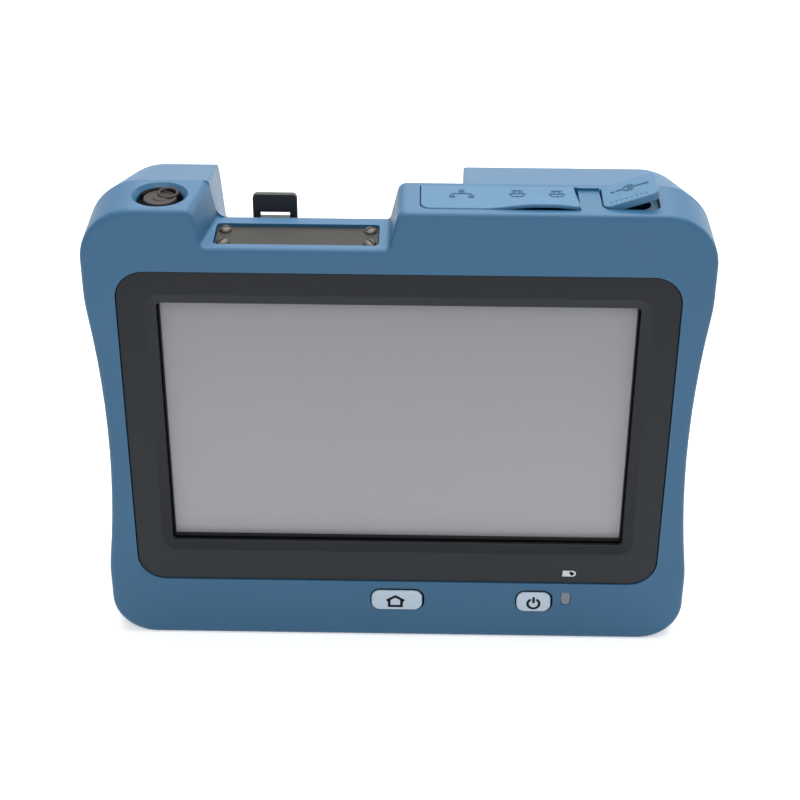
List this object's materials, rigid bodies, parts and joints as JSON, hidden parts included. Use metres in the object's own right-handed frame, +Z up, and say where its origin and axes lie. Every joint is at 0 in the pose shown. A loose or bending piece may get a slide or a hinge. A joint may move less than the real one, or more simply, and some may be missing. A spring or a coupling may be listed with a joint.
{
  "type": "optical time domain reflectometer",
  "caption": "Handheld fibre tester in two moulded shells: touch screen in a wide bezel, keys below, optical port, sockets and stylus on the top edge, fold-out stand behind.",
  "frame": {"origin": "middle of the flat base, on the surface it stands on", "axes": "+X to the right as one faces the screen, +Y from the screen to the back, +Z up"},
  "size_m": [0.2, 0.069, 0.1719],
  "materials": {
    "case_blue": "fine soft-touch texture",
    "cover_rubber": "matt moulded rubber",
    "bezel_grey": "fine matt texture",
    "black_foam": "dull",
    "touch_glass": "anti-glare film",
    "display": "switched-off grey display",
    "key_grey": "satin",
    "lamp_clear": "frosted clear",
    "plate_metal": "dark grey-brown satin coat",
    "screw_steel": "plain steel",
    "chassis_alloy": "bead blasted",
    "board_green": "solder mask",
    "black_plastic": "satin",
    "socket_metal": "tin plated",
    "port_nickel": "nickel plated",
    "ceramic": "polished ceramic",
    "door_plastic": "fine matt texture",
    "battery_wrap": "shrink sleeve"
  },
  "bodies": {
    "case": {"battery_door": "door_plastic", "battery_door_screws": "screw_steel", "battery_pack": "battery_wrap", "board_screws": "screw_steel", "case_screws": "screw_steel", "charge_light_pipe": "lamp_clear", "chassis_frame": "chassis_alloy", "chassis_screws": "screw_steel", "cover_plate_gasket": "black_foam", "cover_plate_screws": "screw_steel", "data_cover_anchor": "cover_rubber", "dc_jack": "black_plastic", "ferrule_sleeve": "ceramic", "fiber_spool": "black_plastic", "front_shell": "case_blue", "key_switches": "black_plastic", "keypad_board": "board_green", "lan_socket": "socket_metal", "lcd_gasket": "black_foam", "lcd_panel": "display", "main_board": "board_green", "micro_usb_socket": "socket_metal", "optical_baseplate": "port_nickel", "otdr_module": "chassis_alloy", "port_cover_plate": "plate_metal", "processor_shield": "chassis_alloy", "rear_shell": "case_blue", "screen_bezel": "bezel_grey", "shell_seal": "black_foam", "speaker": "black_plastic", "stand_hinge_pins": "screw_steel", "stylus_sleeve": "black_plastic", "touch_panel": "touch_glass", "usb_socket": "socket_metal"},
    "home_key": {"home_button": "key_grey"},
    "power_key": {"power_button": "key_grey"},
    "adapter": {"connector_adapter": "port_nickel"},
    "cap": {"dust_cap": "black_plastic"},
    "data_cover": {"data_port_cover": "cover_rubber"},
    "power_cover": {"power_port_cover": "cover_rubber"},
    "stylus_pen": {"stylus": "black_plastic"},
    "stand": {"stand_leg": "door_plastic", "stand_foot_pad": "black_foam"}
  },
  "joints": [
    {"name": "home_press", "type": "slide", "parent": "case", "child": "home_key", "axis": [0, 1, 0], "range_m": [0, 0.0008], "stiffness_N_per_m": 1200},
    {"name": "power_press", "type": "slide", "parent": "case", "child": "power_key", "axis": [0, 1, 0], "range_m": [0, 0.0008], "stiffness_N_per_m": 1200},
    {"name": "adapter_twist", "type": "hinge", "parent": "case", "child": "adapter", "pos_m": [-0.075, -0.0225, 0.1523], "axis": [0, 0, 1], "range_deg": [0, 45]},
    {"name": "cap_pull", "type": "slide", "parent": "adapter", "child": "cap", "axis": [0, 0, 1], "range_m": [0, 0.03]},
    {"name": "data_cover_lift", "type": "hinge", "parent": "case", "child": "data_cover", "pos_m": [0.0067, -0.0225, 0.1663], "axis": [0, -1, 0], "range_deg": [0, 100]},
    {"name": "power_cover_lift", "type": "hinge", "parent": "case", "child": "power_cover", "pos_m": [0.0633, -0.022, 0.1663], "axis": [0, -1, 0], "range_deg": [-19, 75]},
    {"name": "stylus_draw", "type": "slide", "parent": "case", "child": "stylus_pen", "axis": [0, 0, 1], "range_m": [0, 0.115]},
    {"name": "stand_swing", "type": "hinge", "parent": "case", "child": "stand", "pos_m": [0, 0.0309, 0.064], "axis": [1, 0, 0], "range_deg": [0, 50]}
  ]
}
